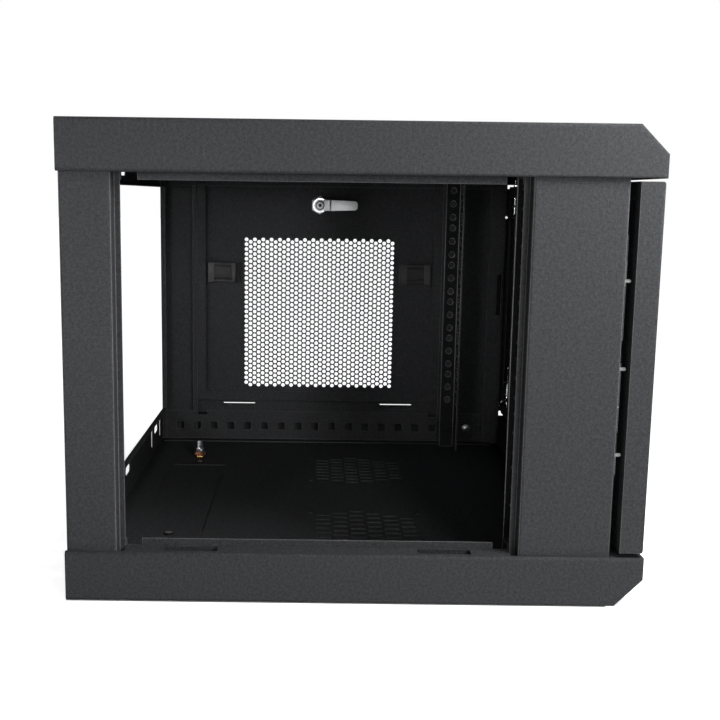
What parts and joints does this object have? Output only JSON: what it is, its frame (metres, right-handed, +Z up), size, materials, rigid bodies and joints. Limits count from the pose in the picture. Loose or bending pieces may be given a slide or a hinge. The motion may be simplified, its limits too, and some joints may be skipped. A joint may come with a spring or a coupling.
{
  "type": "wall mount network cabinet",
  "caption": "Wall mounted network equipment cabinet with a hinged glazed front door on spring pins, a lift-off vented side panel, 19 inch mounting rails and an open rear with wall slots.",
  "frame": {"origin": "middle of the base, on the surface under the cabinet", "axes": "+Z up, +X to the right seen from the front, front facing -Y"},
  "size_m": [0.6, 0.45, 0.368],
  "materials": {
    "powder_coat": "fine textured matt powder coat",
    "black_screw": "black oxide",
    "zinc": "zinc plated",
    "chrome": "bright plated",
    "spring_steel": "drawn wire",
    "smoked_glass": "tempered, smoked",
    "gasket_rubber": "closed-cell foam strip",
    "clear_rubber": "clear bumper",
    "black_plastic": "moulded, fine grain",
    "brass": "turned",
    "copper": "copper washer"
  },
  "bodies": {
    "cabinet": {"bottom_cover": "powder_coat", "top_cover": "powder_coat", "cable_cover_bottom": "powder_coat", "cable_cover_top": "powder_coat", "cable_cover_screws": "black_screw", "base_rail_right": "powder_coat", "base_rail_left": "powder_coat", "roof_rail_right": "powder_coat", "roof_rail_left": "powder_coat", "rear_flange_bottom": "powder_coat", "rear_flange_top": "powder_coat", "rear_post_right": "powder_coat", "rear_post_left": "powder_coat", "front_post_right": "powder_coat", "front_post_left": "powder_coat", "mounting_rail_right": "powder_coat", "mounting_rail_left": "powder_coat", "rail_brackets": "powder_coat", "rail_screws": "zinc", "cage_nuts": "zinc", "door_buffers": "clear_rubber", "earth_stud": "zinc", "earth_nut": "brass", "earth_washers": "copper", "earth_wing_nut": "zinc"},
    "door": {"door_frame": "powder_coat", "door_glass": "smoked_glass", "glass_gasket": "gasket_rubber", "glass_clips": "zinc", "door_lock_barrel": "chrome", "door_lock_nut": "zinc", "pin_bracket_top": "powder_coat", "pin_bracket_bottom": "powder_coat", "hinge_spring_top": "spring_steel", "hinge_spring_bottom": "spring_steel"},
    "side_panel": {"side_panel": "powder_coat", "panel_lock_barrel": "chrome", "panel_lock_nut": "zinc", "latch_housing_rear": "black_plastic", "latch_housing_front": "black_plastic"},
    "door_lock_cam": {"door_lock_cam": "zinc"},
    "hinge_pin_top": {"hinge_pin_top": "chrome"},
    "hinge_pin_bottom": {"hinge_pin_bottom": "chrome"},
    "panel_lock_cam": {"panel_lock_cam": "zinc", "panel_lock_cam_screw": "zinc"},
    "latch_bolt_rear": {"latch_bolt_rear": "black_plastic"},
    "latch_bolt_front": {"latch_bolt_front": "black_plastic"}
  },
  "joints": [
    {"name": "door_hinge", "type": "hinge", "parent": "cabinet", "child": "door", "pos_m": [0.2904, -0.2118, 0.18475], "axis": [0, 0, 1], "range_deg": [0, 110]},
    {"name": "door_lock", "type": "hinge", "parent": "door", "child": "door_lock_cam", "pos_m": [-0.257, -0.193, 0.195], "axis": [0, 1, 0], "range_deg": [0, 90]},
    {"name": "hinge_pin_top_slide", "type": "slide", "parent": "door", "child": "hinge_pin_top", "axis": [0, 0, -1], "range_m": [0, 0.009], "stiffness_N_per_m": 300, "springref_m": -0.01, "deforming": ["hinge_spring_top"]},
    {"name": "hinge_pin_bottom_slide", "type": "slide", "parent": "door", "child": "hinge_pin_bottom", "axis": [0, 0, 1], "range_m": [0, 0.009], "stiffness_N_per_m": 300, "springref_m": -0.01, "deforming": ["hinge_spring_bottom"]},
    {"name": "panel_tilt", "type": "hinge", "parent": "cabinet", "child": "side_panel", "pos_m": [0.295, 0.029, 0.0405], "axis": [0, 1, 0], "range_deg": [0, 25]},
    {"name": "panel_lock", "type": "hinge", "parent": "side_panel", "child": "panel_lock_cam", "pos_m": [0.2786, 0.029, 0.3015], "axis": [-1, 0, 0], "range_deg": [0, 90]},
    {"name": "latch_rear_slide", "type": "slide", "parent": "side_panel", "child": "latch_bolt_rear", "axis": [0, 1, 0], "range_m": [0, 0.017]},
    {"name": "latch_front_slide", "type": "slide", "parent": "side_panel", "child": "latch_bolt_front", "axis": [0, -1, 0], "range_m": [0, 0.017]}
  ]
}
